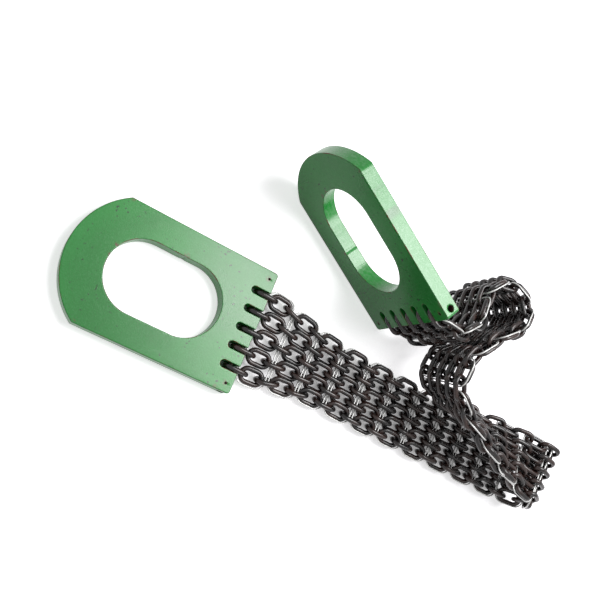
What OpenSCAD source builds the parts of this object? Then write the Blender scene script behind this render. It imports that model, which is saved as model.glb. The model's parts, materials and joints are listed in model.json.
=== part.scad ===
// Chain mesh sling: a mat of five short-link chains between two flame-cut end plates.
// Plate A lies flat with its underside at z = 0. Its centreline is the X axis and the slots face +X.
// The mat leaves plate A, folds back over itself, turns up on edge, loops and ends at plate B,
// which stands on its long edge. The origin is on the underside of plate A, in the middle of the
// web between its hook eye and its slots.

/* [Chain] */
// Diameter of the round bar that the links are bent from
bar_d = 6.5; // [5.5:0.1:6.6]
// Inside length of a link
link_inner_l = 23; // [22.8:0.1:23.4]
// Inside width of a link
link_inner_w = 11; // [10.6:0.1:11.4]
// Distance between neighbouring chains in the middle of the mat
chain_spacing = 18.3; // [18:0.1:20]
// Straight stretch from crown to crown through an upright link
upright_step = 13.5; // [13:0.1:14]

/* [End plates] */
// Length of a plate from its slotted edge to the top of its arch
plate_l = 250; // [240:1:300]
// Width of a plate
plate_w = 166; // [160:1:190]
// Thickness of a plate
plate_t = 20; // [16:0.5:24]
// Radius of the arched end
arch_r = 100; // [95:1:150]
// Radius of the corners beside the slots
corner_r = 4; // [1:0.5:8]
// Length of the hook eye
eye_l = 150; // [110:1:155]
// Width of the hook eye
eye_w = 94; // [60:1:100]
// Steel between the hook eye and the slotted edge
eye_web = 51; // [40:1:60]

/* [Slots and pins] */
// Distance between neighbouring slots
slot_pitch = 25.4; // [25:0.1:28]
// Width of a slot
slot_w = 9.5; // [9:0.1:11]
// Depth of a slot
slot_depth = 26; // [24:0.5:30]
// Distance of the cross pin from the slotted edge
pin_setback = 9.5; // [9:0.5:12]
// Diameter of the cross pin
pin_d = 5.8; // [5:0.1:6]
// Bore for the cross pin
pin_bore_d = 6.4; // [6.2:0.1:7]
// Wider mouth of that bore, on both sides of the plate
bore_mouth_d = 9; // [8:0.5:10]
// Depth of the mouth
bore_mouth_l = 16; // [15:0.5:20]
// Distance of a roll pin from the side of the plate
roll_pin_inset = 11.3; // [9:0.1:14]
// Diameter of a roll pin
roll_pin_d = 4; // [3:0.1:5]

/* [Lacing] */
// Diameter of the lacing wire
lace_d = 2; // [1.6:0.1:2.2]
// Gap between a flat link and the lacing
lace_gap = 0.3; // [0.25:0.05:0.4]
// Radius of the lacing's corners
lace_bend_r = 7; // [6:0.5:8]

/* [Hidden] */
CHAINS = [-2, -1, 0, 1, 2];
FLAT_ROWS = 26;
JOINS = 2 * FLAT_ROWS;

// Link sizes
crown_r = link_inner_w / 2 + bar_d / 2;
leg_half = link_inner_l / 2 - link_inner_w / 2;
link_reach = leg_half + crown_r;
link_half_l = link_reach + bar_d / 2;
flat_step = 2 * link_reach;
mat_z = crown_r + bar_d / 2 - 0.2;

// Ends of the mat: the first upright link stands on the floor around the pin, and the first flat
// link hangs in its crown
pin_behind_crown = 1.35;
end_play = 0.4;
pin_to_link = leg_half + pin_behind_crown;
first_join = pin_to_link + link_reach - bar_d - end_play - pin_setback;
end_link_z = crown_r + bar_d / 2;
// How far a bend pushes an upright link outwards, clear of the lacing
bend_shift = 0.9;

// Lay of the mat. Each table is [number of the joint or stretch, value], and values between two
// entries lie on the straight line between them. Odd stretches are flat links, even ones upright.
// SPREAD is the share of the widening towards the slots, SLACK shortens an upright stretch.
SPREAD = [[0, 1], [1, 0.85], [2, 0.6], [3, 0.35], [4, 0.15], [5, 0.03], [6, 0], [45, 0], [46, 0.03],
    [47, 0.15], [48, 0.35], [49, 0.6], [50, 0.85], [51, 1]];
SLACK = [[4, 0.3], [6, 0], [20, 0], [22, 0.9], [36, 0.9], [38, 0.5], [46, 0.5], [48, 0.7]];
FLAT_HEADING = [[1, -1], [3, -3], [7, -3], [9, -1]];
FOLD_START = 21;
EDGE_START = 37;
FOLD_BEND = [[19.5, 0], [20.5, 33], [21.5, 42], [22.5, 42], [23.5, 43], [24.5, 23], [25.5, -4],
    [26.5, 2], [28.5, -3], [30.5, 0], [32.5, -12], [34.5, -38], [36.5, -36]];
FOLD_TWIST = [[20.5, 0], [22.5, -6], [24.5, 11], [26.5, 9], [28.5, 8], [32.5, 8], [34.5, 0],
    [36.5, -8]];
EDGE_HEADING = [[37, -133], [38, -123], [39, -139], [40, -137], [41, -101], [42, -63], [43, -25],
    [44, 13], [45, 50], [46, 86], [47, 86], [49, 46], [51, -1], [53, -31.4]];
EDGE_CLIMB = [[37, -0.5], [38, -3.5], [39, -6.5], [40, -9.5], [41, -7], [42, -9], [43, -7],
    [45, -1], [47, 5], [49, 9], [51, 6.5]];
// Roll of the links about their own length, and how far an upright link slides sideways in the
// crowns that it hangs in, by row
FLAT_ROLL = [[0, 9], [1, 20], [2, 23], [10, 23], [12, 26], [15, 26], [17, 23], [18, 24], [19, 23],
    [23, 23], [24, 21], [25, 9]];
UPRIGHT_ROLL = [[0, 6], [1, 20], [2, 24], [9, 24], [11, 22], [12, 12], [13, 26], [15, 26], [16, 20],
    [18, 16], [19, 22], [22, 22], [23, 16], [24, 22], [25, 18], [26, 6]];
UPRIGHT_SLIDE = [[9, 0], [10, 0.75], [11, 1.75], [12, 1.5], [13, 0], [15, 0], [16, -1], [17, -1.5],
    [18, -0.5], [20, 0.5], [21, 2.25], [22, 1.75], [23, 0.25], [24, -1.5], [25, -1], [26, 0]];

// Vectors and turns
function unit(v) = v / norm(v);
function turn_x(a) = [[1, 0, 0], [0, cos(a), -sin(a)], [0, sin(a), cos(a)]];
function turn_y(a) = [[cos(a), 0, sin(a)], [0, 1, 0], [-sin(a), 0, cos(a)]];
function turn_z(a) = [[cos(a), -sin(a), 0], [sin(a), cos(a), 0], [0, 0, 1]];
// A frame rolled about its own length: [length, width, normal]
function rolled(f, a) = [f[0], f[1] * cos(a) + f[2] * sin(a), f[2] * cos(a) - f[1] * sin(a)];

// Direction along the mat and across it, stretch by stretch
function on_edge(k) =
    let (h = lookup(k, EDGE_HEADING), c = lookup(k, EDGE_CLIMB))
    [[-cos(h) * cos(c), -sin(h) * cos(c), sin(c)], [0, 0, -1]];
function folded(k, turn) =
    turn * turn_y(-lookup(k - 0.5, FOLD_BEND)) * turn_x(lookup(k - 0.5, FOLD_TWIST));
function next_turn(k, turn) =
    k < FOLD_START ? turn_z(lookup(k, FLAT_HEADING)) :
    k < EDGE_START ? folded(k, turn) : turn;
TURNS = [for (k = 1, turn = next_turn(1, turn_z(0)); k < EDGE_START;
    k = k + 1, turn = next_turn(k, turn)) turn];
STRETCHES = [for (k = [1:JOINS - 1]) k < FOLD_START ? [TURNS[k - 1] * [1, 0, 0], [0, 1, 0]] :
    k < EDGE_START ? [TURNS[k - 1] * [1, 0, 0], TURNS[k - 1] * [0, 1, 0]] : on_edge(k)];
function stretch_l(k) = k % 2 == 1 ? flat_step : upright_step - lookup(k, SLACK);

// Joints between the links of the middle chain, and the step from chain to chain at each joint
MIDDLE = [for (k = 0, p = [slot_edge_x() + first_join, 0, mat_z]; k < JOINS;
    k = k + 1, p = p + STRETCHES[min(k, JOINS - 1) - 1][0] * stretch_l(k)) p];
function across(k) = unit(STRETCHES[max(k, 1) - 1][1] + STRETCHES[min(k + 1, JOINS - 1) - 1][1])
    * (chain_spacing + lookup(k, SPREAD) * (slot_pitch - chain_spacing));
ACROSS = [for (k = [0:JOINS - 1]) across(k)];
function joint_at(k, chain) = MIDDLE[k] + chain * ACROSS[k];

// Plates: [corner of the frame, along, across, normal] at the middle of the slotted edge, with the
// links level with the pin
function slot_edge_x() = (eye_web + slot_depth) / 2;
PLATE_A = [[slot_edge_x(), 0, plate_t / 2], [1, 0, 0], [0, 1, 0], [0, 0, 1]];
b_heading = lookup(53, EDGE_HEADING);
B_ALONG = [-cos(b_heading), -sin(b_heading), 0];
B_END = [MIDDLE[JOINS - 1][0], MIDDLE[JOINS - 1][1], plate_w / 2];
PLATE_B = [B_END + B_ALONG * first_join, -B_ALONG, [0, 0, -1], cross(-B_ALONG, [0, 0, -1])];
function pin_centre(plate, chain) = plate[0] - plate[1] * pin_setback + plate[2] * slot_pitch * chain;

// Links: [centre, length, width, normal]
function flat_frame(row, chain) =
    let (a = joint_at(2 * row, chain), b = joint_at(2 * row + 1, chain))
    let (along = unit(b - a), side = unit(ACROSS[2 * row] + ACROSS[2 * row + 1]))
    let (normal = unit(cross(along, side)))
    [along, cross(normal, along), normal];
function flat_centre(row, chain) = (joint_at(2 * row, chain) + joint_at(2 * row + 1, chain)) / 2;
function flat_link_place(row, chain) =
    concat([flat_centre(row, chain)], rolled(flat_frame(row, chain), lookup(row, FLAT_ROLL)));
function crown_of(row, chain, end) =
    flat_centre(row, chain) + end * link_reach * flat_frame(row, chain)[0];
function between(row, chain) =
    let (a = crown_of(row - 1, chain, 1), b = crown_of(row, chain, -1))
    let (along = unit(b - a))
    let (before = flat_frame(row - 1, chain), after = flat_frame(row, chain))
    let (mean = before[2] + after[2], normal = unit(mean - along * (along * mean)))
    let (bend = (after[0] - before[0]) * normal)
    [(a + b) / 2 - normal * bend * bend_shift, along, normal, cross(along, normal)];
function at_plate(plate, chain, lift, way) =
    [pin_centre(plate, chain) + plate[1] * pin_to_link + plate[3] * lift,
        way * plate[1], way * plate[3], -plate[2]];
function upright_base(row, chain) =
    row == 0 ? at_plate(PLATE_A, chain, end_link_z - plate_t / 2, 1) :
    row == FLAT_ROWS ? at_plate(PLATE_B, chain, 0, -1) : between(row, chain);
function upright_link_place(row, chain) =
    let (base = upright_base(row, chain))
    let (f = rolled([base[1], base[2], base[3]], lookup(row, UPRIGHT_ROLL)))
    concat([base[0] - f[2] * lookup(row, UPRIGHT_SLIDE)], f);

function row_name(kind, row) = str(kind, "_", row < 9 ? "0" : "", row + 1);

module place(f) {
    multmatrix([for (i = [0:2]) [f[1][i], f[2][i], f[3][i], f[0][i]]]) children();
}

// One link, bent from round bar, lying in the plane of its length (X) and its width (Y)
module link() {
    for (side = [-1, 1])
        translate([0, side * crown_r, 0])
            rotate([0, 90, 0])
                cylinder(d = bar_d, h = 2 * leg_half, center = true, $fn = 20);
    for (end = [0, 180])
        rotate(end)
            translate([leg_half, 0, 0])
                rotate(-90)
                    rotate_extrude(angle = 180, $fn = 32)
                        translate([crown_r, 0])
                            circle(d = bar_d, $fn = 20);
}

module flat_links(row) {
    color([0.16, 0.15, 0.15])
        for (chain = CHAINS)
            place(flat_link_place(row, chain)) link();
    color([0.78, 0.79, 0.80]) lacing(row);
}

module upright_links(row) {
    color([0.14, 0.13, 0.13])
        for (chain = CHAINS)
            place(upright_link_place(row, chain)) link();
}

// One closed lacing loop: a straight pass beyond each end of the flat links, and a return outside
// the outermost link on each side. Its straight stretches are a hair thinner than its bends and end
// inside them.
lace_reach = bar_d / 2 + lace_gap + lace_d / 2;
lace_thinner = 0.1;
lace_lap = 0.3;
function lace_side(row) =
    let (roll = lookup(row, FLAT_ROLL), clear = lace_reach + lace_gap, rise = crown_r * sin(roll))
    crown_r * cos(roll) + sqrt(max(0, clear * clear - rise * rise));
function lace_corner(row, side, end) =
    let (joint = 2 * row + (end + 1) / 2, span = joint_at(2 * row + 1, 2 * side) - joint_at(2 * row, 2 * side))
    let (clear = lace_reach + max(0, link_reach - norm(span) / 2))
    joint_at(joint, 2 * side) + flat_frame(row, 0)[0] * end * clear
        + unit(ACROSS[joint]) * side * lace_side(row);
function lace_corners(row) =
    [for (c = [[-1, -1], [1, -1], [1, 1], [-1, 1]]) lace_corner(row, c[0], c[1])];
function half_corner(before, corner, after) = acos(unit(before - corner) * unit(after - corner)) / 2;

module bend(before, corner, after) {
    half = half_corner(before, corner, after);
    back = unit(before - corner);
    centre = corner + unit(back + unit(after - corner)) * lace_bend_r / sin(half);
    start = unit(corner + back * lace_bend_r / tan(half) - centre);
    place([centre, start, -back, cross(start, -back)])
        rotate_extrude(angle = 180 - 2 * half, $fn = 32)
            translate([lace_bend_r, 0])
                circle(d = lace_d, $fn = 13);
}

module rod(a, b, d) {
    run = b - a;
    translate(a)
        rotate([0, acos(run[2] / norm(run)), atan2(run[1], run[0])])
            cylinder(d = d, h = norm(run), $fn = 13);
}

module lacing(row) {
    corners = lace_corners(row);
    trims = [for (i = [0:3])
        lace_bend_r / tan(half_corner(corners[(i + 3) % 4], corners[i], corners[(i + 1) % 4]))];
    for (i = [0:3]) {
        next = (i + 1) % 4;
        run = unit(corners[next] - corners[i]);
        bend(corners[(i + 3) % 4], corners[i], corners[next]);
        rod(corners[i] + run * (trims[i] - lace_lap), corners[next] - run * (trims[next] - lace_lap),
            lace_d - lace_thinner);
    }
}

// End plate, lying with its slotted edge's middle at the origin and its thickness centred
module plate_outline() {
    arch_x = arch_r - plate_l;
    difference() {
        intersection() {
            translate([-plate_l, -plate_w / 2]) square([plate_l, plate_w]);
            union() {
                translate([arch_x, 0]) circle(r = arch_r, $fn = 96);
                translate([arch_x, -plate_w / 2]) square([-arch_x, plate_w]);
            }
        }
        for (side = [-1, 1])
            translate([-corner_r, side * (plate_w / 2 - corner_r)])
                difference() {
                    translate([0, side > 0 ? 0 : -2 * corner_r]) square(2 * corner_r);
                    circle(r = corner_r, $fn = 32);
                }
    }
}

module hook_eye() {
    r = eye_w / 2;
    for (end = [-1, 1])
        translate([-eye_web - eye_l / 2 + end * (eye_l / 2 - r), 0]) circle(r = r, $fn = 96);
    translate([-eye_web - eye_l + r, -r]) square([eye_l - 2 * r, eye_w]);
}

module slot_cuts() {
    for (chain = CHAINS)
        translate([slot_w / 2 - slot_depth, slot_pitch * chain]) {
            circle(d = slot_w, $fn = 32);
            translate([0, -slot_w / 2]) square([slot_depth + 1, slot_w]);
        }
}

module end_plate() {
    difference() {
        translate([0, 0, -plate_t / 2])
            linear_extrude(plate_t)
                difference() {
                    plate_outline();
                    hook_eye();
                    slot_cuts();
                }
        translate([-pin_setback, 0, 0])
            rotate([90, 0, 0])
                cylinder(d = pin_bore_d, h = plate_w + 2, center = true, $fn = 32);
        for (side = [-1, 1])
            translate([-pin_setback, side * (plate_w / 2 + 1), 0])
                rotate([side * 90, 0, 0])
                    cylinder(d = bore_mouth_d, h = bore_mouth_l + 1, $fn = 32);
        for (side = [-1, 1])
            translate([-pin_setback, side * (plate_w / 2 - roll_pin_inset), 0])
                cylinder(d = roll_pin_d, h = plate_t + 2, center = true, $fn = 24);
    }
}

// Cross pin, stopped between the two roll pins
pin_end_gap = 0.3;
pin_chamfer = 0.8;
module cross_pin() {
    l = plate_w - 2 * roll_pin_inset - roll_pin_d - 2 * pin_end_gap;
    translate([-pin_setback, 0, 0])
        rotate([90, 0, 0]) {
            cylinder(d = pin_d, h = l - 2 * pin_chamfer, center = true, $fn = 32);
            for (end = [0, 180])
                rotate([end, 0, 0])
                    translate([0, 0, l / 2 - pin_chamfer])
                        cylinder(d1 = pin_d, d2 = pin_d - 2 * pin_chamfer, h = pin_chamfer, $fn = 32);
        }
}

// Roll pins: rolled spring steel with an open seam, across the mouths of the pin bore
roll_pin_wall = 0.8;
roll_pin_recess = 0.5;
roll_pin_fit = 0.02;
module roll_pins() {
    l = plate_t - 2 * roll_pin_recess;
    for (side = [-1, 1])
        translate([-pin_setback, side * (plate_w / 2 - roll_pin_inset), 0])
            difference() {
                cylinder(d = roll_pin_d - 2 * roll_pin_fit, h = l, center = true, $fn = 24);
                cylinder(d = roll_pin_d - 2 * roll_pin_wall, h = l + 2, center = true, $fn = 24);
                translate([roll_pin_d / 2, 0, 0])
                    cube([roll_pin_d, roll_pin_wall, l + 2], center = true);
            }
}

color([0.18, 0.55, 0.25]) place(PLATE_A) end_plate();  // plate_a
color([0.18, 0.55, 0.25]) place(PLATE_B) end_plate();  // plate_b
color([0.6, 0.6, 0.62]) place(PLATE_A) cross_pin();  // cross_pin_a
color([0.6, 0.6, 0.62]) place(PLATE_B) cross_pin();  // cross_pin_b
color([0.5, 0.5, 0.52]) place(PLATE_A) roll_pins();  // roll_pins_a
color([0.5, 0.5, 0.52]) place(PLATE_B) roll_pins();  // roll_pins_b
for (row = [0:FLAT_ROWS]) {
    upright_links(row);
}
for (row = [0:FLAT_ROWS - 1]) {
    flat_links(row);
}
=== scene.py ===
"""Dresses the chain mesh sling: painted end plates, oiled chain, lacing wire and its stage."""

import json
import math

import bmesh
import bpy
import numpy as np
from mathutils import Matrix, Vector
from mathutils.geometry import tessellate_polygon

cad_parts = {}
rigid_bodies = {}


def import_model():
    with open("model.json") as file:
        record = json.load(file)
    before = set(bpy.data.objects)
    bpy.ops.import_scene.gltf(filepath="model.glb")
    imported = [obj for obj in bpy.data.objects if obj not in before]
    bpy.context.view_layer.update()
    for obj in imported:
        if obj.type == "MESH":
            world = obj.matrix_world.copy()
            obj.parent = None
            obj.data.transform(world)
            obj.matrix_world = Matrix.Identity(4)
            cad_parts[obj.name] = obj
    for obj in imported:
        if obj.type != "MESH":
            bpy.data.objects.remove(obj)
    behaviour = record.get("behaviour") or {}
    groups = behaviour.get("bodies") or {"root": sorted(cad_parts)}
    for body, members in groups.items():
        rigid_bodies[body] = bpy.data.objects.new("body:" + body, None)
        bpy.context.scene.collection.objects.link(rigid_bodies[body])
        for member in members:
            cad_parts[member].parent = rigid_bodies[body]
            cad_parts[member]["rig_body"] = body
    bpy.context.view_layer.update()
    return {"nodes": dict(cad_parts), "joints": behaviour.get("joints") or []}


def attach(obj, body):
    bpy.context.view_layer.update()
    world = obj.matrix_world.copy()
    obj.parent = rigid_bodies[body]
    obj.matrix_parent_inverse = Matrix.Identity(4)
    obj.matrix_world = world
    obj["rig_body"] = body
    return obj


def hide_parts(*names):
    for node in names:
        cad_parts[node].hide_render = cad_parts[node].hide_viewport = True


bl_info = {
    "name": "Chain mesh sling",
    "version": (1, 0, 0),
    "blender": (4, 5, 0),
    "location": "3D View > Sidebar > Sling",
    "description": "Dresses the sling's end plates, chain rows and lacing, and builds its stage",
    "category": "Object",
}

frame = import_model()

JOINTS = {joint["name"]: joint for joint in frame["joints"]}
FLAT_ROWS = sorted(name for name in frame["nodes"] if name.startswith("flat_links_"))
UPRIGHT_ROWS = sorted(name for name in frame["nodes"] if name.startswith("upright_links_"))
CHAINS = (-2, -1, 0, 1, 2)

# Each plate's node, the joint at its cross pin, and the gloss of its faces and of its cut walls
PLATES = (
    ("plate_a", "pin_hinge_a", 0.62, 0.3),
    ("plate_b", "pin_hinge_b", 0.28, 0.62),
)


def linear(red, green, blue):
    """A colour written as 8-bit display values, as the linear values that shaders use."""
    values = [c / 255 for c in (red, green, blue)]
    return tuple(c / 12.92 if c <= 0.04045 else ((c + 0.055) / 1.055) ** 2.4 for c in values)


def scaled(rgb, factor):
    """A lighter or darker shade of a colour."""
    return tuple(min(1.0, c * factor) for c in rgb)


def node_body(name):
    """The body that carries a CAD node."""
    return frame["nodes"][name]["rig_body"]


def link_new(name, data):
    """A new object of the scene for a mesh, a lamp or a camera."""
    made = bpy.data.objects.new(name, data)
    bpy.context.scene.collection.objects.link(made)
    return made


def finished(piece):
    """The piece as it looks with its modifiers, as one plain mesh."""
    bpy.context.view_layer.update()
    graph = bpy.context.evaluated_depsgraph_get()
    mesh = bpy.data.meshes.new_from_object(
        piece.evaluated_get(graph), preserve_all_data_layers=True, depsgraph=graph
    )
    piece.modifiers.clear()
    old, piece.data = piece.data, mesh
    if old.users == 0:
        bpy.data.meshes.remove(old)
    mesh.name = piece.name
    return piece


# Sizes and colours that a user would change


def length(name, description, default):
    """A size setting."""
    return bpy.props.FloatProperty(
        name=name, description=description, default=default, min=0.0, unit="LENGTH", precision=4
    )


def colour(name, description, default):
    """A colour setting."""
    return bpy.props.FloatVectorProperty(
        name=name, description=description, default=default,
        size=3, subtype="COLOR", min=0.0, max=1.0,
    )


def amount(name, description, default, most, subtype="NONE"):
    """A setting that is a plain number from 0 upwards."""
    return bpy.props.FloatProperty(
        name=name, description=description, default=default, min=0.0, max=most, subtype=subtype
    )


class SlingPlateSettings(bpy.types.PropertyGroup):
    """Sizes and paint of the end plates"""

    plate_length: length("Length", "Slotted edge to the top of the arch", 0.250)
    plate_width: length("Width", "Width of a plate", 0.166)
    thickness: length("Thickness", "Thickness of a plate", 0.020)
    arch_radius: length("Arch radius", "Radius of the arched end", 0.100)
    corner_radius: length("Corner radius", "Radius of the corners beside the slots", 0.004)
    eye_length: length("Eye length", "Length of the hook eye", 0.150)
    eye_width: length("Eye width", "Width of the hook eye", 0.094)
    eye_web: length("Web", "Steel between the hook eye and the slotted edge", 0.051)
    slot_pitch: length("Slot pitch", "Distance between neighbouring slots", 0.0254)
    slot_width: length("Slot width", "Width of a slot", 0.0095)
    slot_depth: length("Slot depth", "Depth of a slot", 0.026)
    pin_setback: length("Pin setback", "Cross pin to the slotted edge", 0.0095)
    bore: length("Bore", "Diameter of the cross bore", 0.0064)
    mouth: length("Mouth", "Diameter of the bore's mouths", 0.009)
    mouth_depth: length("Mouth depth", "Depth of the bore's mouths", 0.016)
    roll_pin_inset: length("Roll pin inset", "Roll pin to the side of the plate", 0.0113)
    roll_pin_hole: length("Roll pin hole", "Diameter of the roll pin holes", 0.004)
    rim: length("Rim", "Width of the rounded rim", 0.0009)
    wave: length("Cut wave", "How far the flame cut of the hook eye wanders", 0.00032)
    paint: colour("Paint", "Colour of the paint", linear(6, 122, 36))
    rust: colour("Rust", "Colour of the worn rims", linear(92, 48, 34))


class SlingChainSettings(bpy.types.PropertyGroup):
    """Sizes and finish of the links"""

    bar: length("Bar", "Diameter of the bar", 0.0065)
    inside_length: length("Inside length", "Inside length of a link", 0.023)
    inside_width: length("Inside width", "Inside width of a link", 0.011)
    weld_length: length("Weld length", "Half length of the weld on one leg", 0.0032)
    weld_swell: amount("Weld swell", "How much thicker the bar is at its weld", 0.07, 0.3)
    sides: bpy.props.IntProperty(
        name="Sides", description="Faces around the bar", default=10, min=6, max=24
    )
    steel: colour("Steel", "Colour of the oiled steel", linear(15, 12, 13))
    stain: colour("Stain", "Colour of the brown stains on it", linear(44, 28, 24))


class SlingLacingSettings(bpy.types.PropertyGroup):
    """Size and finish of the lacing wire"""

    gauge: length("Gauge", "Diameter of the lacing wire", 0.002)
    bend: length("Bend", "Radius of the wire's bends at the edges of the mat", 0.011)
    wire: colour("Wire", "Colour of the plated wire", linear(214, 214, 212))


class SlingStageSettings(bpy.types.PropertyGroup):
    """Floor, lamp and surroundings"""

    floor: colour("Floor", "Colour of the floor", (0.86, 0.845, 0.875))
    key_size: length("Key size", "Side of the large soft lamp", 0.95)
    key_watts: amount("Key power", "Power of the large soft lamp", 31.0, 1000.0, "POWER")
    sky: amount("Sky", "Strength of the white surroundings as light", 0.28, 2.0)
    floor_glow: amount("Floor glow", "How far the floor is lifted towards white", 0.6, 1.0)
    far_glow: amount("Far glow", "The same far from the sling, where no lamp reaches", 0.8, 1.0)


# Node trees


class Nodes:
    """A node tree, with short calls to add nodes and to join them."""

    def __init__(self, tree):
        self.tree = tree
        tree.nodes.clear()

    def add(self, kind, settings=None, **inputs):
        """A new node with its settings, and a number or a socket on each input that is named."""
        made = self.tree.nodes.new(kind)
        for key, value in (settings or {}).items():
            setattr(made, key, value)
        for key, value in inputs.items():
            self.join(value, made.inputs[key.replace("_", " ")])
        return made

    def join(self, source, target):
        """Links a socket to an input, or sets the input to a plain value."""
        if isinstance(source, bpy.types.NodeSocket):
            self.tree.links.new(source, target)
        else:
            target.default_value = source

    def math(self, operation, first, second=0.0, clamp=False):
        """The result of one sum."""
        made = self.add("ShaderNodeMath", {"operation": operation, "use_clamp": clamp})
        self.join(first, made.inputs[0])
        self.join(second, made.inputs[1])
        return made.outputs[0]

    def between(self, value, low, high, out_low=0.0, out_high=1.0):
        """A soft step from one value to another while the input goes from low to high."""
        made = self.add(
            "ShaderNodeMapRange", {"interpolation_type": "SMOOTHSTEP"},
            Value=value, From_Min=low, From_Max=high, To_Min=out_low, To_Max=out_high,
        )
        return made.outputs["Result"]

    def seen(self):
        """1 for what the camera or a gloss sees, and 0 for light that falls on the object."""
        path = self.add("ShaderNodeLightPath")
        return self.math("MAXIMUM", path.outputs["Is Camera Ray"], path.outputs["Is Glossy Ray"])


class Shader(Nodes):
    """A material of one principled surface."""

    def __init__(self, name):
        self.material = bpy.data.materials.new(name)
        self.material.use_nodes = True
        super().__init__(self.material.node_tree)
        self.surface = self.add("ShaderNodeBsdfPrincipled")
        self.add("ShaderNodeOutputMaterial", Surface=self.surface.outputs["BSDF"])
        self.place = self.add("ShaderNodeTexCoord")

    def noise(self, scale, detail=2.0, coordinate="Object", squeeze=(1, 1, 1)):
        """Noise over the piece, or over the plate's own map."""
        at = self.add("ShaderNodeMapping", Vector=self.place.outputs[coordinate], Scale=squeeze)
        made = self.add("ShaderNodeTexNoise", Vector=at.outputs[0], Scale=scale, Detail=detail)
        return made.outputs["Fac"]

    def mix(self, factor, first, second):
        """A colour between two others."""
        made = self.add("ShaderNodeMix", {"data_type": "RGBA"})
        self.join(factor, made.inputs[0])
        for value, target in ((first, made.inputs[6]), (second, made.inputs[7])):
            socket = isinstance(value, bpy.types.NodeSocket)
            self.join(value if socket else (*value[:3], 1.0), target)
        return made.outputs[2]

    def bump(self, height, strength, distance, **after):
        """Raises the surface by a pattern, on top of an earlier bump's Normal if it is given."""
        made = self.add(
            "ShaderNodeBump", Height=height, Strength=strength, Distance=distance, **after
        )
        self.set(Normal=made.outputs["Normal"])
        return made.outputs["Normal"]

    def set(self, **values):
        """Sets or joins inputs of the surface."""
        for key, value in values.items():
            self.join(value, self.surface.inputs[key.replace("_", " ")])


class Tree(Nodes):
    """A geometry node tree with named inputs."""

    def __init__(self, name, inputs):
        super().__init__(bpy.data.node_groups.new(name, "GeometryNodeTree"))
        face = self.tree.interface
        face.new_socket("Geometry", in_out="INPUT", socket_type="NodeSocketGeometry")
        self.ids = {}
        for label, kind in inputs:
            socket = face.new_socket(label, in_out="INPUT", socket_type="NodeSocket" + kind)
            self.ids[label] = socket.identifier
        face.new_socket("Geometry", in_out="OUTPUT", socket_type="NodeSocketGeometry")
        self.given = self.add("NodeGroupInput").outputs

    def circle(self, points, radius):
        """A circle about the Z axis."""
        made = self.add(
            "GeometryNodeCurvePrimitiveCircle", {"mode": "RADIUS"}, Resolution=points, Radius=radius
        )
        return made.outputs["Curve"]

    def round_bar(self, curve, sides, radius, **scale):
        """Round bar along a curve, shaded smooth."""
        profile = self.circle(sides, radius)
        swept = self.add("GeometryNodeCurveToMesh", Curve=curve, Profile_Curve=profile, **scale)
        return self.add("GeometryNodeSetShadeSmooth", Geometry=swept.outputs["Mesh"]).outputs[0]

    def finish(self, geometry, material):
        """Gives the result its material and hands it out."""
        made = self.add("GeometryNodeSetMaterial", Geometry=geometry, Material=material)
        self.add("NodeGroupOutput", Geometry=made.outputs[0])
        return self

    def fill(self, piece, **values):
        """Puts the tree on a piece with a value for each of its inputs, and applies it."""
        modifier = piece.modifiers.new(self.tree.name, "NODES")
        modifier.node_group = self.tree
        for label, value in values.items():
            modifier[self.ids[label.replace("_", " ")]] = value
        return finished(piece)


# Materials

# Places on a plate's face where rust or bare steel shows, as points of the plate's own map
RUST_SPOTS = (
    (-0.2045, 0.0825), (-0.2045, -0.0825), (-0.0107, 0.0717), (-0.0107, -0.0717),
    (-0.020, -0.0815), (-0.2005, 0.009), (-0.1985, 0.021), (-0.118, 0.0492),
)
RUST_REACH = 0.0055


def near_spots(shader, spots, reach):
    """How close a point of the plate's own map is to one of a few spots, 1 at a spot."""
    total = None
    for x, y in spots:
        away = shader.add("ShaderNodeVectorMath", {"operation": "DISTANCE"})
        shader.join(shader.place.outputs["UV"], away.inputs[0])
        shader.join((x, y, 0.0), away.inputs[1])
        close = shader.between(away.outputs["Value"], 0.0, reach, 1.0, 0.0)
        total = close if total is None else shader.math("MAXIMUM", total, close)
    return total


def face_paint(settings, gloss):
    """Green paint on the rolled faces: a little uneven, with specks, and rust at its corners."""
    shader = Shader("plate face paint")
    broad = shader.noise(9.0, 3.0)
    fine = shader.noise(420.0)
    speck = shader.between(shader.noise(210.0, 1.0), 0.66, 0.73)
    rare = shader.between(shader.noise(38.0), 0.46, 0.58)
    grain = shader.noise(520.0, 1.0)
    dark, light = scaled(settings.paint, 0.86), scaled(settings.paint, 1.14)
    paint = shader.mix(shader.between(broad, 0.32, 0.7), dark, light)
    pale, dull = linear(80, 158, 96), linear(48, 82, 44)
    paint = shader.mix(shader.between(grain, 0.42, 0.68, 0.0, 0.12), paint, pale)
    paint = shader.mix(shader.between(grain, 0.46, 0.30, 0.0, 0.12), paint, dull)
    specks = shader.math("MULTIPLY", speck, rare)
    paint = shader.mix(specks, paint, scaled(settings.paint, 0.22))
    spots = near_spots(shader, RUST_SPOTS, RUST_REACH)
    rust = shader.math("MULTIPLY", spots, shader.between(fine, 0.42, 0.58), clamp=True)
    shader.set(
        Base_Color=shader.mix(rust, paint, settings.rust),
        Roughness=shader.between(broad, 0.3, 0.75, 0.26, 0.31),
        Specular_IOR_Level=gloss,
    )
    orange_peel = shader.bump(shader.noise(650.0), 0.35, 0.0003)
    shader.bump(shader.noise(60.0, 3.0), 0.10, 0.0006, Normal=orange_peel)
    return shader.material


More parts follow.
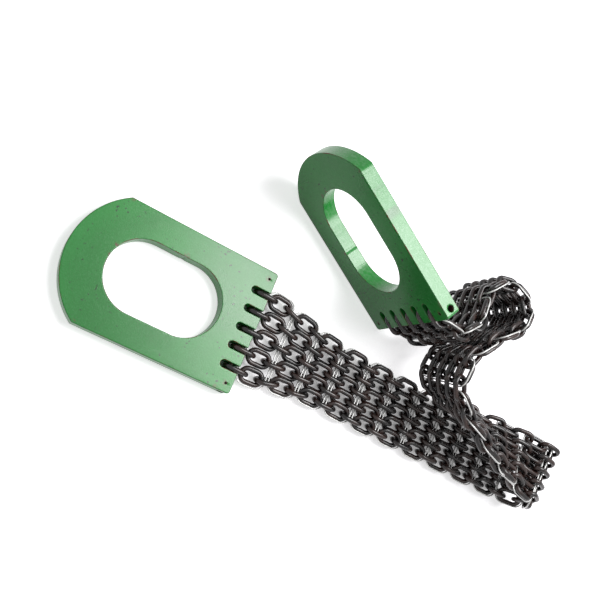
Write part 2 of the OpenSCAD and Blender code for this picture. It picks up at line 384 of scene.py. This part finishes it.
def cut_paint(settings, gloss):
    """Paint on the flame-cut walls, over the upright drag lines of the cut, with painted light and
    shade in upright bands for the waves of the cut.
    """
    shader = Shader("flame-cut wall paint")
    lines = shader.noise(260.0, 2.0, "UV", (1.0, 0.10, 1.0))
    waves_and_painted_shade = shader.noise(34.0, 1.0, "UV", (1.0, 0.05, 1.0))
    broad = shader.noise(14.0)
    chalk = shader.noise(170.0, 4.0, "UV", (1.0, 1.6, 1.0))
    # The upright bands darken and lighten the paint: painted shade and painted light of the wavy
    # cut wall
    dark, light = scaled(settings.paint, 0.62), scaled(settings.paint, 1.10)
    paint = shader.mix(shader.between(waves_and_painted_shade, 0.30, 0.42), dark, light)
    chalky = shader.between(chalk, 0.40, 0.70, 0.0, 0.10)
    shader.set(
        Base_Color=shader.mix(chalky, paint, linear(196, 222, 204)),
        Roughness=shader.between(broad, 0.3, 0.7, 0.23, 0.30),
        Specular_IOR_Level=gloss,
    )
    drag_lines = shader.bump(lines, 0.30, 0.0004)
    shader.bump(waves_and_painted_shade, 0.22, 0.0008, Normal=drag_lines)
    return shader.material


def rim_paint(settings):
    """The rounded rims, where the paint is thin, rubbed and in places rusted."""
    shader = Shader("worn rim paint")
    patches = shader.noise(85.0, 3.0)
    short = shader.between(patches, 0.44, 0.60)
    long = shader.between(shader.noise(16.0), 0.38, 0.58)
    wear = shader.math("MULTIPLY", short, long, clamp=True)
    shader.set(
        Base_Color=shader.mix(wear, scaled(settings.paint, 0.72), settings.rust),
        Roughness=shader.between(wear, 0.0, 1.0, 0.36, 0.75),
    )
    shader.bump(patches, 0.3, 0.0003)
    return shader.material


def pin_steel():
    """Bare, dark and rusty steel inside the bores and on the pins."""
    shader = Shader("rusty pin steel")
    patches = shader.noise(300.0, 3.0)
    rusty = shader.between(patches, 0.35, 0.65)
    shader.set(
        Base_Color=shader.mix(rusty, linear(44, 36, 34), linear(88, 62, 52)),
        Roughness=0.55,
        Metallic=0.5,
    )
    shader.bump(patches, 0.3, 0.0002)
    return shader.material


def chain_steel(settings):
    """Oiled near-black steel with brown stains, and a broad gloss that mill scale breaks up."""
    shader = Shader("oiled chain steel")
    stained = shader.between(shader.noise(55.0, 3.0), 0.40, 0.62)
    scale = shader.noise(520.0, 3.0)
    shader.set(
        Base_Color=shader.mix(stained, settings.steel, settings.stain),
        Roughness=shader.between(scale, 0.3, 0.72, 0.22, 0.34),
    )
    shader.bump(scale, 0.20, 0.0002)
    return shader.material


def plated_wire(settings):
    """Bright plating on the lacing wire, a little dulled."""
    shader = Shader("plated lacing wire")
    dull = shader.noise(120.0)
    bright = shader.between(dull, 0.35, 0.7)
    shader.set(
        Base_Color=shader.mix(bright, scaled(settings.wire, 0.78), settings.wire),
        Roughness=shader.between(dull, 0.3, 0.7, 0.28, 0.42),
        Metallic=0.35,
    )
    shader.bump(shader.noise(900.0, 1.0), 0.15, 0.0001)
    return shader.material


# End plates

# A plate's materials, in the order of its slots
FACE, WALL, RIM, BORE = range(4)

# How far apart the points of an outline lie along its parts
SLOT_STEP = 0.003
SLOT_END_STEP = 0.0012
CORNER_STEP = 0.0008
SIDE_STEP = 0.004
ARCH_STEP = 0.003
EYE_STEP = 0.002

# Wavelength and share of each wave that makes up the wander of a flame cut, and its seed
CUT_SEED = 11
CUT_WAVES = ((0.061, 0.34), (0.027, 0.32), (0.0125, 0.22), (0.0061, 0.12))
# The outline's wander as a share of the hook eye's
OUTLINE_SHARE = 0.45
# Where the cut of the hook eye began: its place along the plate, its depth and its half width
CUT_MARK_X, CUT_MARK_DEPTH, CUT_MARK_WIDTH = -0.119, 0.0011, 0.0022
# Width of the strip of each face that follows the outline
FACE_STRIP = 0.0024
# Steps of the rounded rim in degrees, from the face to the wall
RIM_STEPS = (0, 30, 60, 90)
# Heights of the wall's own rings, as shares of the way from its middle to the rims
WALL_SHARES = (0.6, 0.2, -0.2, -0.6)
# The inset at a sharp corner is at most this many times that of a straight stretch
CORNER_STRETCH = 2.0

CUTTER_SIDES = 36
CUTTER_PAST = 0.002


def wander(run, seed, reach):
    """How far a flame-cut wall lies inside its nominal line at a point along the cut."""
    numbers = np.random.default_rng(seed)
    total = 0.0
    for wavelength, share in CUT_WAVES:
        phase = run / wavelength + numbers.random()
        total += share * (0.5 + 0.5 * math.sin(2 * math.pi * phase))
    return reach * total


def divided(start, end, step):
    """Points along a straight line, without its end."""
    count = max(1, round((Vector(end) - Vector(start)).length / step))
    return [tuple(Vector(start).lerp(Vector(end), i / count)) for i in range(count)]


def arc(centre, radius, start, end, step):
    """Points along an arc, without its end."""
    count = max(2, round(abs(end - start) * radius / step))
    angles = [start + (end - start) * i / count for i in range(count)]
    return [(centre[0] + radius * math.cos(a), centre[1] + radius * math.sin(a)) for a in angles]


def plate_outline(s):
    """The plate's outline from above, counterclockwise, with the slots cut in the edge at x = 0."""
    half, r, w = s.plate_width / 2, s.corner_radius, s.slot_width / 2
    end = w - s.slot_depth
    points, at = [], (0.0, -half + r)
    for chain in CHAINS:
        y = chain * s.slot_pitch
        points += divided(at, (0.0, y - w), SLOT_STEP)
        points += divided((0.0, y - w), (end, y - w), SLOT_STEP)
        points += arc((end, y), w, 1.5 * math.pi, 0.5 * math.pi, SLOT_END_STEP)
        points += divided((end, y + w), (0.0, y + w), SLOT_STEP)
        at = (0.0, y + w)
    points += divided(at, (0.0, half - r), SLOT_STEP)
    points += arc((-r, half - r), r, 0.0, 0.5 * math.pi, CORNER_STEP)
    centre = s.arch_radius - s.plate_length
    lean = math.asin(half / s.arch_radius)
    arch_x = centre - s.arch_radius * math.cos(lean)
    points += divided((-r, half), (arch_x, half), SIDE_STEP)
    points += arc((centre, 0.0), s.arch_radius, math.pi - lean, math.pi + lean, ARCH_STEP)
    points += divided((arch_x, -half), (-r, -half), SIDE_STEP)
    points += arc((-r, -half + r), r, 1.5 * math.pi, 2 * math.pi, CORNER_STEP)
    return points


def eye_outline(s):
    """The hook eye from above, clockwise, so that the steel is on its left, as on the outline's."""
    r = s.eye_width / 2
    far, near = -s.eye_web - s.eye_length + r, -s.eye_web - r
    points = divided((far, r), (near, r), EYE_STEP)
    points += arc((near, 0.0), r, 0.5 * math.pi, -0.5 * math.pi, EYE_STEP)
    points += divided((near, -r), (far, -r), EYE_STEP)
    points += arc((far, 0.0), r, 1.5 * math.pi, 0.5 * math.pi, EYE_STEP)
    return points


def inward(points):
    """At each point of a loop, the way into the steel, longer at corners to keep the inset even."""
    count, ways = len(points), []
    for i, point in enumerate(points):
        before = (Vector(point) - Vector(points[i - 1])).normalized()
        after = (Vector(points[(i + 1) % count]) - Vector(point)).normalized()
        left = [Vector((-d.y, d.x)) for d in (before, after)]
        mean = (left[0] + left[1]).normalized()
        ways.append(mean / max(1 / CORNER_STRETCH, mean.dot(left[0])))
    return ways


class PlateMesh:
    """Builds one plate, lying with its slotted edge on the Y axis and its middle at z = 0."""

    def __init__(self, settings, seed):
        self.s = settings
        self.seed = seed
        self.mesh = bmesh.new()
        self.map = self.mesh.loops.layers.uv.new("plate map")

    def levels(self):
        """[inset, height, share of the wander] of each ring, from the top face down the wall."""
        half, rim = self.s.thickness / 2, self.s.rim
        top = []
        for degrees in RIM_STEPS:
            angle = math.radians(degrees)
            height = half - rim * (1 - math.cos(angle))
            top.append((rim * (1 - math.sin(angle)), height, degrees / 90))
        wall = [(0.0, (half - rim) * share, 1.0) for share in WALL_SHARES]
        bottom = [(inset, -height, share) for inset, height, share in top[::-1]]
        return [(FACE_STRIP, half, 0.0), *top, *wall, *bottom, (FACE_STRIP, -half, 0.0)]

    def ring(self, points, ways, runs, level, reach, seed, marks):
        """One ring of points, set in by its level, by the wander of the cut and by its marks."""
        inset, height, share = level
        ring = []
        for point, way, at in zip(points, ways, runs):
            away = inset + share * wander(at, seed, reach)
            for x, y, depth, width in marks:
                gap = math.hypot(point[0] - x, point[1] - y) / width
                away += share * depth * max(0.0, 1 - gap * gap)
            place = Vector(point) + way * away
            ring.append(self.mesh.verts.new((place.x, place.y, height)))
        return ring

    def wall(self, points, reach, seed, marks=()):
        """Lays the rings of one loop and joins them. Returns its top and its bottom ring."""
        count, runs, run = len(points), [], 0.0
        for i, point in enumerate(points):
            runs.append(run)
            run += (Vector(points[(i + 1) % count]) - Vector(point)).length
        ways, levels = inward(points), self.levels()
        rings = [self.ring(points, ways, runs, level, reach, seed, marks) for level in levels]
        edge = [FACE, RIM, RIM, RIM]
        kinds = edge + [WALL] * (len(rings) - 1 - 2 * len(edge)) + edge[::-1]
        for k, kind in enumerate(kinds):
            high, low = levels[k][1], levels[k + 1][1]
            for i, near in enumerate(runs):
                j = (i + 1) % count
                far = runs[j] if j else run
                corners = (rings[k][i], rings[k + 1][i], rings[k + 1][j], rings[k][j])
                face = self.mesh.faces.new(corners)
                face.material_index, face.smooth = kind, True
                places = ((near, high), (near, low), (far, low), (far, high))
                for loop, place in zip(face.loops, places):
                    loop[self.map].uv = loop.vert.co.xy if kind == FACE else place
        return rings[0], rings[-1]

    def face(self, outer, hole):
        """Fills one face of the plate between its outline's strip and the hook eye's."""
        verts = [*outer, *hole]
        for triangle in tessellate_polygon([[vert.co for vert in ring] for ring in (outer, hole)]):
            face = self.mesh.faces.new([verts[i] for i in triangle])
            face.material_index, face.smooth = FACE, True
            for loop in face.loops:
                loop[self.map].uv = loop.vert.co.xy

    def build(self):
        """The whole plate without its bores."""
        s = self.s
        mark = (CUT_MARK_X, s.eye_width / 2, CUT_MARK_DEPTH, CUT_MARK_WIDTH)
        outer = self.wall(plate_outline(s), s.wave * OUTLINE_SHARE, self.seed)
        eye = self.wall(eye_outline(s), s.wave, self.seed + 1, (mark,))
        for top in (0, 1):
            self.face(outer[top], eye[top])
        bmesh.ops.recalc_face_normals(self.mesh, faces=self.mesh.faces)
        mesh = bpy.data.meshes.new("plate")
        self.mesh.to_mesh(mesh)
        self.mesh.free()
        return mesh


def drill(name, diameter, start, end):
    """A closed cylinder from one point to the other, as the cutter of one hole."""
    run, radius = Vector(end) - Vector(start), diameter / 2
    mesh = bmesh.new()
    bmesh.ops.create_cone(
        mesh, cap_ends=True, segments=CUTTER_SIDES, radius1=radius, radius2=radius, depth=run.length
    )
    turn = run.to_track_quat("Z", "Y").to_matrix().to_4x4()
    mesh.transform(Matrix.Translation((Vector(start) + Vector(end)) / 2) @ turn)
    for face in mesh.faces:
        face.material_index = BORE
        face.smooth = len(face.verts) == 4
    made = bpy.data.meshes.new(name)
    mesh.to_mesh(made)
    mesh.free()
    return link_new(name, made)


def plate_place(name, pin_joint, settings):
    """The turn and the place that set a plate on its cross pin and over its CAD node."""
    middle = np.array([v.co for v in frame["nodes"][name].data.vertices], float)
    middle = Vector((middle.min(0) + middle.max(0)) / 2)
    pin = Vector(JOINTS[pin_joint]["pos_m"])
    across = Vector(JOINTS[pin_joint]["axis"]).normalized()
    # The width runs towards +Y on the lying plate, and down on the standing one
    if across.y < across.z:
        across = -across
    along = pin - middle
    along = (along - across * along.dot(across)).normalized()
    turn = Matrix((along, across, along.cross(across))).transposed().to_4x4()
    return Matrix.Translation(pin + along * settings.pin_setback) @ turn


class SLING_OT_plates(bpy.types.Operator):
    """Builds the two flame-cut and painted end plates"""

    bl_idname = "sling.plates"
    bl_label = "End plates"

    def execute(self, context):
        s = context.scene.sling_plates
        rim, bore = rim_paint(s), pin_steel()
        for i, (node, pin_joint, face_gloss, wall_gloss) in enumerate(PLATES):
            mesh = PlateMesh(s, CUT_SEED + 2 * i).build()
            for material in (face_paint(s, face_gloss), cut_paint(s, wall_gloss), rim, bore):
                mesh.materials.append(material)
            piece = link_new("end_" + node, mesh)
            self.cut_holes(piece, s)
            soften = piece.modifiers.new("soften", "WEIGHTED_NORMAL")
            soften.weight = 80
            soften.keep_sharp = True
            finished(piece)
            piece.data.transform(plate_place(node, pin_joint, s))
            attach(piece, node_body(node))
            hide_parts(node)
        return {"FINISHED"}

    @staticmethod
    def cut_holes(piece, s):
        """Drills the cross bore, its two mouths and the two roll pin holes."""
        side, x = s.plate_width / 2, -s.pin_setback
        past, reach = side + CUTTER_PAST, s.thickness / 2 + CUTTER_PAST
        cutters = [drill("bore cutter", s.bore, (x, -past, 0), (x, past, 0))]
        for way in (-1, 1):
            start, end = (x, way * (side - s.mouth_depth), 0), (x, way * past, 0)
            cutters.append(drill("mouth cutter", s.mouth, start, end))
            y = way * (side - s.roll_pin_inset)
            cutters.append(drill("pin cutter", s.roll_pin_hole, (x, y, -reach), (x, y, reach)))
        for cutter in cutters:
            cut = piece.modifiers.new("cut", "BOOLEAN")
            cut.operation, cut.solver, cut.object = "DIFFERENCE", "EXACT", cutter
            cut.material_mode = "INDEX"
        finished(piece)
        for cutter in cutters:
            bpy.data.objects.remove(cutter)


class SLING_OT_pins(bpy.types.Operator):
    """Gives the cross pins and the roll pins their rusty steel"""

    bl_idname = "sling.pins"
    bl_label = "Pins"

    def execute(self, context):
        steel = pin_steel()
        for name in ("cross_pin_a", "cross_pin_b", "roll_pins_a", "roll_pins_b"):
            node = frame["nodes"][name]
            node.data.materials.clear()
            node.data.materials.append(steel)
        return {"FINISHED"}


# Chain and lacing

# Points of the circle that a link is bent from, and points along the finished link
RING_POINTS = 24
LINK_POINTS = 26

# A solid with a larger reach than this is a lacing loop, and a smaller one is a link
LACING_REACH = 0.060
WIRE_SIDES = 10
BEND_POINTS = 7

# The ends of a lacing loop's side, beyond this share of its half length, give the side's line
SIDE_SHARE = 0.3
# The points beyond these shares of a corner's place along and across give the corner's height
CORNER_SHARES = (0.36, 0.2)


def solids(node):
    """The separate solids of a CAD node, each as merged points and triangles."""
    mesh = node.data
    mesh.calc_loop_triangles()
    points = np.zeros(len(mesh.vertices) * 3)
    mesh.vertices.foreach_get("co", points)
    triangles = np.zeros(len(mesh.loop_triangles) * 3, dtype=np.int64)
    mesh.loop_triangles.foreach_get("vertices", triangles)
    merged, back = np.unique(np.round(points.reshape(-1, 3), 7), axis=0, return_inverse=True)
    triangles = back.reshape(-1)[triangles].reshape(-1, 3)
    label = np.arange(len(merged))
    while True:
        lowest = label[triangles].min(axis=1)
        fresh = label.copy()
        for corner in range(3):
            np.minimum.at(fresh, triangles[:, corner], lowest)
        fresh = fresh[fresh]
        if np.array_equal(fresh, label):
            break
        label = fresh
    parts = []
    for each in np.unique(label[triangles[:, 0]]):
        own = triangles[label[triangles[:, 0]] == each]
        used, renumbered = np.unique(own, return_inverse=True)
        parts.append((merged[used], renumbered.reshape(-1, 3)))
    return parts


def own_frame(points, triangles):
    """Centre of a solid's surface, and its length, width and normal as axes."""
    corners = points[triangles]
    sides = corners[:, 1:] - corners[:, :1]
    area = np.linalg.norm(np.cross(sides[:, 0], sides[:, 1]), axis=1)
    middle = corners.mean(axis=1)
    centre = (middle * area[:, None]).sum(axis=0) / area.sum()
    # A flat triangle spreads like nine points at its middle and one at each of its corners
    spread = np.zeros((3, 3))
    for weight, at in ((9.0, middle), *((1.0, corners[:, k]) for k in range(3))):
        away = at - centre
        spread += weight * np.einsum("n,ni,nj->ij", area, away, away)
    _, axes = np.linalg.eigh(spread)
    along, width = Vector(axes[:, 2]), Vector(axes[:, 1])
    return Vector(centre), along, width, along.cross(width)


def is_lacing(points):
    """Whether a solid of a row is its lacing loop and not a link."""
    reach = points.max(axis=0) - points.min(axis=0)
    return float(np.linalg.norm(reach)) > LACING_REACH


def link_tree():
    """One welded link, bent from round bar, put at every point of the row by its own turn."""
    t = Tree("Chain links", [
        ("Bar", "Float"), ("Inside length", "Float"), ("Inside width", "Float"),
        ("Weld length", "Float"), ("Weld swell", "Float"), ("Sides", "Int"), ("Steel", "Material"),
    ])
    given = t.given
    half_bar = t.math("DIVIDE", given["Bar"], 2.0)
    crown = t.math("ADD", t.math("DIVIDE", given["Inside width"], 2.0), half_bar)
    leg = t.math("DIVIDE", t.math("SUBTRACT", given["Inside length"], given["Inside width"]), 2.0)
    # Half a step of turn keeps every point of the circle clear of the line where it is pulled apart
    turn = (0.0, 0.0, math.pi / RING_POINTS)
    circle = t.add("GeometryNodeTransform", Geometry=t.circle(RING_POINTS, crown), Rotation=turn)
    place = t.add("ShaderNodeSeparateXYZ", Vector=t.add("GeometryNodeInputPosition").outputs[0])
    x, y = place.outputs["X"], place.outputs["Y"]
    apart = t.add("ShaderNodeCombineXYZ", X=t.math("MULTIPLY", t.math("SIGN", x), leg)).outputs[0]
    oval = t.add("GeometryNodeSetPosition", Geometry=circle.outputs[0], Offset=apart)
    even = t.add("GeometryNodeResampleCurve", Curve=oval.outputs[0], Count=LINK_POINTS)
    share = t.math("DIVIDE", x, given["Weld length"])
    swell = t.math("MAXIMUM", t.math("SUBTRACT", 1.0, t.math("MULTIPLY", share, share)), 0.0)
    swell = t.math("MULTIPLY", swell, t.math("GREATER_THAN", y, 0.0))
    thick = t.math("ADD", t.math("MULTIPLY", swell, given["Weld swell"]), 1.0)
    link = t.add("GeometryNodeSetCurveRadius", Curve=even.outputs[0], Radius=thick).outputs[0]
    scale = t.add("GeometryNodeInputRadius").outputs[0]
    link = t.round_bar(link, given["Sides"], half_bar, Scale=scale)
    turns = t.add("GeometryNodeInputNamedAttribute", {"data_type": "FLOAT_VECTOR"}, Name="turn")
    row = t.add("GeometryNodeMeshToPoints", Mesh=given["Geometry"])
    links = t.add(
        "GeometryNodeInstanceOnPoints",
        Points=row.outputs[0], Instance=link, Rotation=turns.outputs["Attribute"],
    )
    real = t.add("GeometryNodeRealizeInstances", Geometry=links.outputs[0])
    return t.finish(real.outputs[0], given["Steel"])


class SLING_OT_chain(bpy.types.Operator):
    """Sets the welded links of every row where the frame has them"""

    bl_idname = "sling.chain"
    bl_label = "Chain"

    def execute(self, context):
        s = context.scene.sling_chain
        tree, steel = link_tree(), chain_steel(s)
        for row, name in enumerate(UPRIGHT_ROWS + FLAT_ROWS):
            parts = solids(frame["nodes"][name])
            places = [own_frame(*part) for part in parts if not is_lacing(part[0])]
            if len(places) != len(CHAINS):
                raise RuntimeError(f"{name} has {len(places)} links")
            mesh = bpy.data.meshes.new(name)
            mesh.from_pydata([tuple(place[0]) for place in places], [], [])
            turns = mesh.attributes.new("turn", "FLOAT_VECTOR", "POINT")
            for i, (_, along, width, normal) in enumerate(places):
                # Every second link has its weld on the other leg
                if (row + i) % 2:
                    width, normal = -width, -normal
                turn = Matrix((along, width, normal)).transposed()
                turns.data[i].vector = turn.to_euler("XYZ")
            piece = tree.fill(
                link_new("chain_" + name, mesh), Bar=s.bar,
                Inside_length=s.inside_length, Inside_width=s.inside_width,
                Weld_length=s.weld_length, Weld_swell=s.weld_swell, Sides=s.sides, Steel=steel,
            )
            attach(piece, node_body(name))
            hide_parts(name)
        return {"FINISHED"}


def loop_corners(points, triangles, gauge):
    """The four corners of a lacing loop's middle line, from the outermost points of its sides."""
    centre, along, width, normal = own_frame(points, triangles)
    away = points - np.array(centre)
    a, w, n = (away @ np.array(axis) for axis in (along, width, normal))
    half = 0.5 * gauge
    sides = []
    for way, across, other in ((1, a, w), (1, w, a), (-1, a, w), (-1, w, a)):
        line = []
        for part in (-1, 1):
            here = np.flatnonzero(other * part > SIDE_SHARE * np.abs(other).max())
            best = here[np.argmax(across[here] * way)]
            line.append(Vector((a[best], w[best])))
        run = (line[1] - line[0]).normalized()
        out = Vector((run.y, -run.x))
        if out.dot((line[0] + line[1]) / 2) < 0:
            out = -out
        sides.append((line[0] - out * half, run))
    corners = []
    for (p, u), (q, v) in zip(sides, sides[1:] + sides[:1]):
        corner = p + u * ((q - p).cross(v) / u.cross(v))
        ahead = zip((a, w), corner, CORNER_SHARES)
        beyond = [own * at > share * at ** 2 for own, at, share in ahead]
        near = np.flatnonzero(beyond[0] & beyond[1])
        height = (n[near].max() + n[near].min()) / 2
        corners.append(centre + along * corner.x + width * corner.y + normal * height)
    return corners


def wire_tree():
    """A closed wire of one gauge through the corners it is given, with a bend at each."""
    t = Tree("Lacing wire", [("Gauge", "Float"), ("Bend", "Float"), ("Wire", "Material")])
    route = t.add("GeometryNodeMeshToCurve", Mesh=t.given["Geometry"])
    bent = t.add(
        "GeometryNodeFilletCurve", {"mode": "POLY"},
        Curve=route.outputs[0], Count=BEND_POINTS, Radius=t.given["Bend"], Limit_Radius=True,
    )
    wire = t.round_bar(bent.outputs[0], WIRE_SIDES, t.math("DIVIDE", t.given["Gauge"], 2.0))
    return t.finish(wire, t.given["Wire"])


class SLING_OT_lacing(bpy.types.Operator):
    """Bends the bright lacing loop of every row of flat links"""

    bl_idname = "sling.lacing"
    bl_label = "Lacing"

    def execute(self, context):
        s = context.scene.sling_lacing
        tree, wire = wire_tree(), plated_wire(s)
        for name in FLAT_ROWS:
            loops = [part for part in solids(frame["nodes"][name]) if is_lacing(part[0])]
            if len(loops) != 1:
                raise RuntimeError(f"{name} has {len(loops)} lacing loops")
            corners = [tuple(corner) for corner in loop_corners(*loops[0], s.gauge)]
            mesh = bpy.data.meshes.new(name)
            mesh.from_pydata(corners, [(0, 1), (1, 2), (2, 3), (3, 0)], [])
            piece = link_new(name.replace("flat_links", "lacing"), mesh)
            tree.fill(piece, Gauge=s.gauge, Bend=s.bend, Wire=wire)
            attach(piece, node_body(name))
            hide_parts(name)
        return {"FINISHED"}


# Stage

KEY_PLACE = (0.74, 0.52, 1.45)
KEY_AIM = (0.15, 0.08, 0.0)

FLOOR_REACH = 40.0
# The floor lies this far under the sling, so that the two surfaces don't share a plane
FLOOR_DROP = 0.0002
# The floor's glow fades where steel lies nearer than this, between these shares of open sky:
# painted contact shade in the slots and under the mat
SHADE_REACH = 0.018
SHADE_FROM, SHADE_TO = 0.12, 0.50
# The glow rises over this stretch away from the sling, so that the floor has no horizon
FAR_FROM, FAR_TO = 1.0, 3.0

# Where the camera stands, its axes and its lens in millimetres
CAMERA_PLACE = (-0.238029, -0.197974, 0.894003)
CAMERA_RIGHT = (0.83651225, 0.36164716, 0.41165349)
CAMERA_DOWN = (0.43968582, -0.89133893, -0.11041419)
CAMERA_AHEAD = (0.32699180, 0.27336103, -0.90462706)
CAMERA_LENS = 44.79


def lamp(name, place, aim, size, watts):
    """A square soft lamp at a place, aimed at a point."""
    data = bpy.data.lights.new(name, "AREA")
    data.shape, data.size, data.energy = "SQUARE", size, watts
    made = link_new(name, data)
    made.location = place
    made.rotation_euler = (Vector(aim) - Vector(place)).to_track_quat("-Z", "Y").to_euler()
    return made


class SLING_OT_stage(bpy.types.Operator):
    """Builds the white floor, the soft lamp and the camera"""

    bl_idname = "sling.stage"
    bl_label = "Stage"

    def execute(self, context):
        s = context.scene.sling_stage
        self.floor(s)
        self.sky(context.scene, s)
        lamp("key", KEY_PLACE, KEY_AIM, s.key_size, s.key_watts)
        self.camera(context.scene)
        context.scene.view_settings.view_transform = "Standard"
        return {"FINISHED"}

    @staticmethod
    def floor(s):
        """A matt floor that shows near white and keeps the sling's shadow, with painted contact
        shade where steel lies close over it.
        """
        r = FLOOR_REACH
        mesh = bpy.data.meshes.new("floor")
        mesh.from_pydata([(-r, -r, 0), (r, -r, 0), (r, r, 0), (-r, r, 0)], [], [(0, 1, 2, 3)])
        floor = link_new("floor", mesh)
        floor.location.z = -FLOOR_DROP
        material = bpy.data.materials.new("white floor")
        material.use_nodes = True
        nodes = Nodes(material.node_tree)
        matt = nodes.add("ShaderNodeBsdfDiffuse", Color=(*s.floor, 1.0))
        sky = nodes.add("ShaderNodeAmbientOcclusion", Distance=SHADE_REACH).outputs["AO"]
        place = nodes.add("ShaderNodeTexCoord").outputs["Object"]
        away = nodes.add("ShaderNodeVectorMath", {"operation": "LENGTH"}, Vector=place)
        full = nodes.between(away.outputs["Value"], FAR_FROM, FAR_TO, s.floor_glow, s.far_glow)
        # Where steel lies close, the glow is held back, which leaves painted shade in the slots,
        # under the mat and between its links
        glow_with_painted_shade = nodes.math("MULTIPLY", nodes.between(sky, SHADE_FROM, SHADE_TO), full)
        strength = nodes.math("MULTIPLY", nodes.seen(), glow_with_painted_shade)
        glow = nodes.add("ShaderNodeEmission", Strength=strength)
        both = nodes.add("ShaderNodeAddShader")
        nodes.join(matt.outputs[0], both.inputs[0])
        nodes.join(glow.outputs[0], both.inputs[1])
        nodes.add("ShaderNodeOutputMaterial", Surface=both.outputs[0])
        mesh.materials.append(material)

    @staticmethod
    def sky(scene, s):
        """White surroundings, which light the sling less than they show."""
        world = bpy.data.worlds.new("white surroundings")
        world.use_nodes = True
        nodes = Nodes(world.node_tree)
        strength = nodes.between(nodes.seen(), 0.0, 1.0, s.sky, 1.0)
        white = (1.0, 1.0, 1.0, 1.0)
        glow = nodes.add("ShaderNodeBackground", Color=white, Strength=strength)
        nodes.add("ShaderNodeOutputWorld", Surface=glow.outputs[0])
        scene.world = world

    @staticmethod
    def camera(scene):
        """The camera, which looks down on the sling over its lying plate."""
        data = bpy.data.cameras.new("camera")
        data.sensor_fit, data.sensor_width, data.lens = "HORIZONTAL", 36.0, CAMERA_LENS
        data.clip_start, data.clip_end = 0.01, 50.0
        made = link_new("camera", data)
        axes = (Vector(CAMERA_RIGHT), -Vector(CAMERA_DOWN), -Vector(CAMERA_AHEAD))
        turn = Matrix(axes).transposed().to_4x4()
        made.matrix_world = Matrix.Translation(CAMERA_PLACE) @ turn
        scene.camera = made


# Panel and registration

PIECES = (
    ("sling.plates", "sling_plates"),
    ("sling.pins", None),
    ("sling.chain", "sling_chain"),
    ("sling.lacing", "sling_lacing"),
    ("sling.stage", "sling_stage"),
)
GROUPS = (
    ("sling_plates", SlingPlateSettings),
    ("sling_chain", SlingChainSettings),
    ("sling_lacing", SlingLacingSettings),
    ("sling_stage", SlingStageSettings),
)


class SLING_PT_panel(bpy.types.Panel):
    """Sizes, colours and pieces of the sling"""

    bl_idname = "SLING_PT_panel"
    bl_label = "Chain mesh sling"
    bl_space_type = "VIEW_3D"
    bl_region_type = "UI"
    bl_category = "Sling"

    def draw(self, context):
        for operator, settings in PIECES:
            box = self.layout.box()
            box.operator(operator)
            group = getattr(context.scene, settings, None) if settings else None
            if group:
                for key in group.__annotations__:
                    box.prop(group, key)


CLASSES = (
    SlingPlateSettings, SlingChainSettings, SlingLacingSettings, SlingStageSettings,
    SLING_OT_plates, SLING_OT_pins, SLING_OT_chain, SLING_OT_lacing, SLING_OT_stage, SLING_PT_panel,
)


def register():
    """Makes the classes and their settings known to Blender."""
    for each in CLASSES:
        bpy.utils.register_class(each)
    for name, group in GROUPS:
        setattr(bpy.types.Scene, name, bpy.props.PointerProperty(type=group))


def unregister():
    """Takes the settings and the classes away again."""
    for name, _ in GROUPS:
        delattr(bpy.types.Scene, name)
    for each in reversed(CLASSES):
        bpy.utils.unregister_class(each)


def main():
    """Builds every piece in order."""
    register()
    for operator, _ in PIECES:
        group, name = operator.split(".")
        getattr(getattr(bpy.ops, group), name)()


if __name__ == "__main__":
    main()
